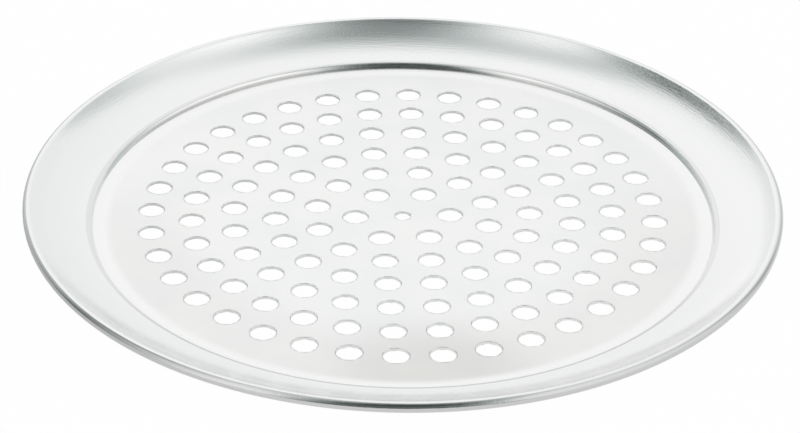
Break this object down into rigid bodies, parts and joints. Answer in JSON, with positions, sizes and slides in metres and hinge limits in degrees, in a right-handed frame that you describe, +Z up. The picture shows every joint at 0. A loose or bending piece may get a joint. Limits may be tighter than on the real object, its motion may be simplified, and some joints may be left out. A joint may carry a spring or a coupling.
{
  "type": "pizza pan",
  "caption": "Round perforated pizza pan with a flat well that rises slightly to a low step, a wide upswept rim and a rolled edge.",
  "frame": {"origin": "centre of the flat underside", "axes": "+Z up out of the well; +X through the first hole of the innermost ring"},
  "size_m": [0.3048, 0.3048, 0.0135],
  "materials": {
    "pan": "plain satin aluminium, spun round the centre"
  },
  "bodies": {
    "root": {"pan": "pan"}
  },
  "joints": []
}
